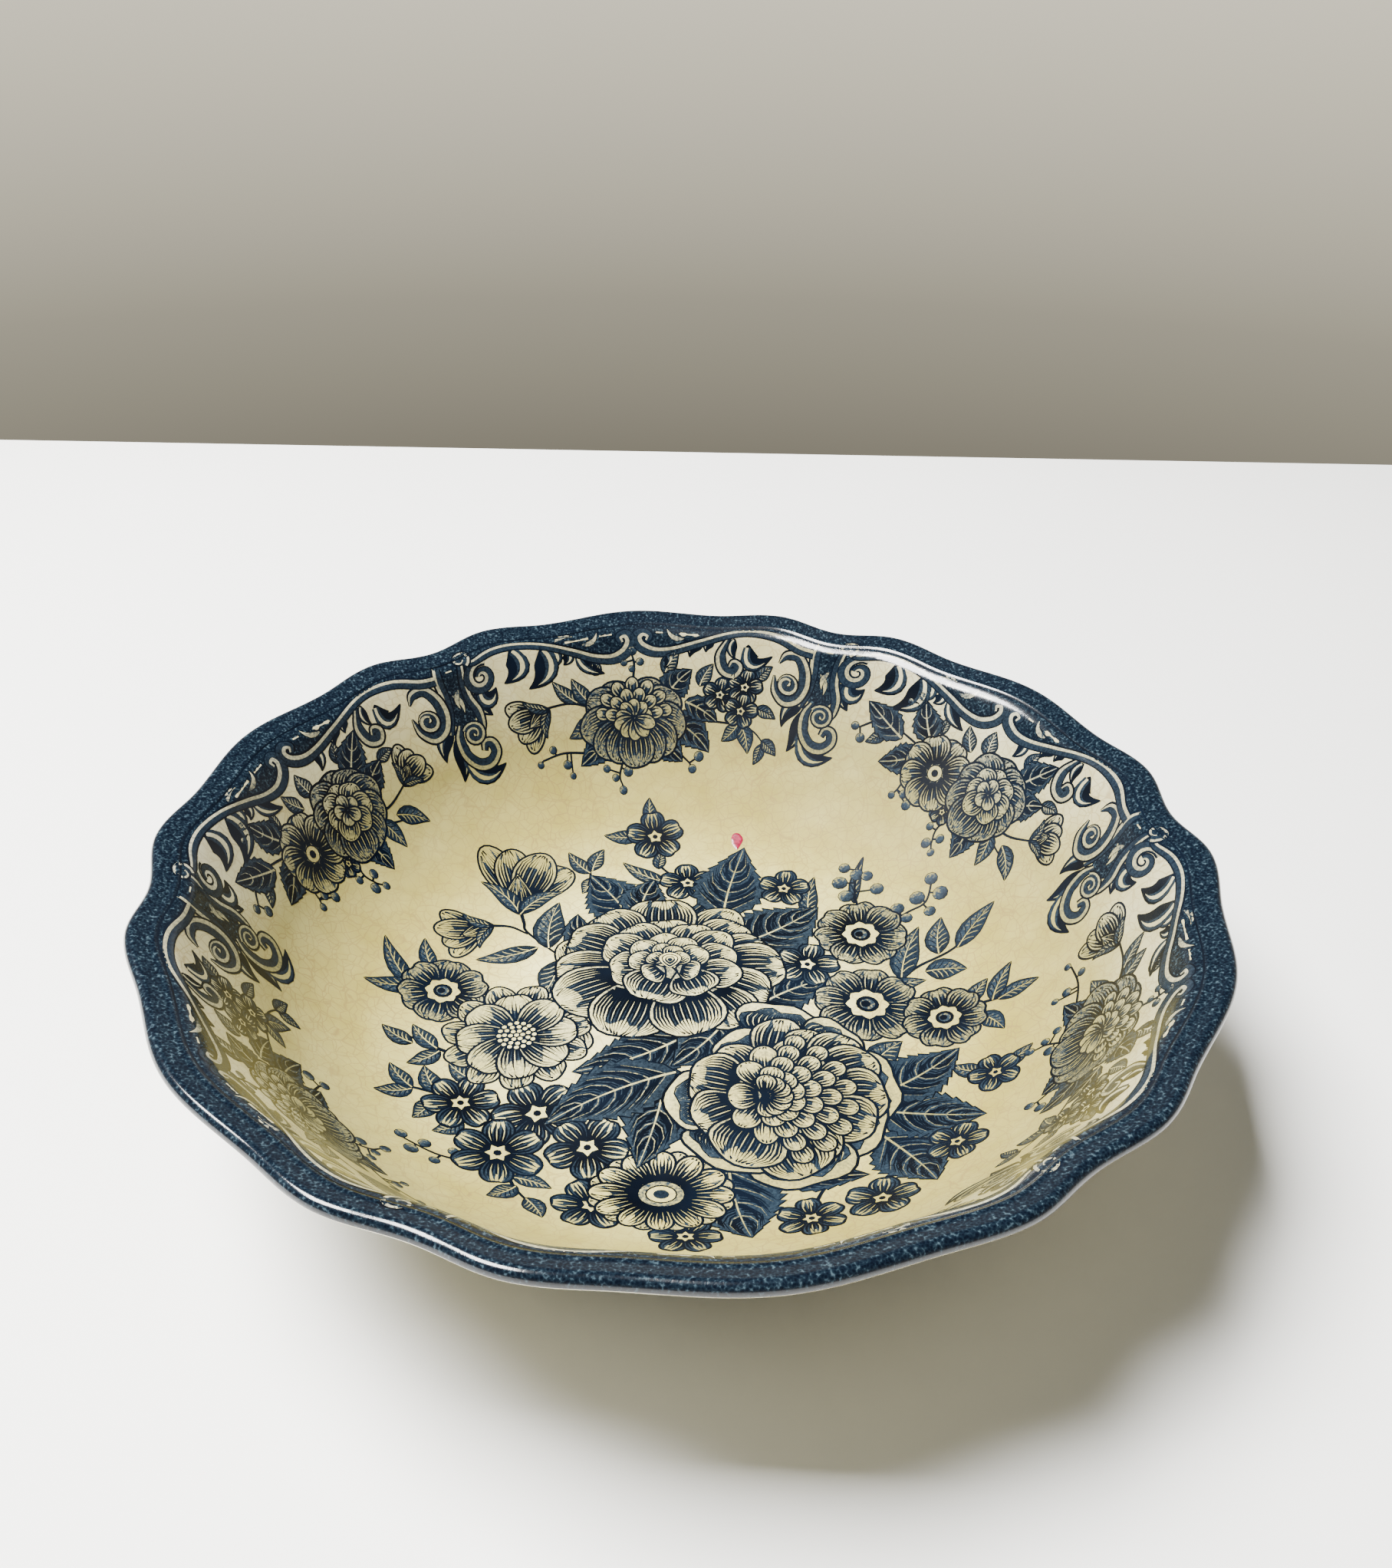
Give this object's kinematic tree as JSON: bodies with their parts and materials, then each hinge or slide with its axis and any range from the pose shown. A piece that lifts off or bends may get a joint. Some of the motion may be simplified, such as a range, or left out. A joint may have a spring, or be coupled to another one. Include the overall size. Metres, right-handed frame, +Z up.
{
  "type": "serving bowl",
  "caption": "Round, open serving bowl of glazed ceramic with a flat well, steep flaring wall, narrow everted lip with a scalloped edge, and a low foot ring.",
  "frame": {"origin": "centre of the foot ring on the surface that the bowl stands on", "axes": "+Z up through the middle of the well, out of the open side; +X through one of the six deepest notches of the edge"},
  "size_m": [0.2378, 0.2404, 0.0604],
  "materials": {
    "glazed_cream": "glossy crazed glaze over a blue transfer print",
    "bare_biscuit": "matt, worn bare clay on the bearing edge"
  },
  "bodies": {
    "root": {"bowl_body": "glazed_cream", "foot_ring": "bare_biscuit"}
  },
  "joints": []
}
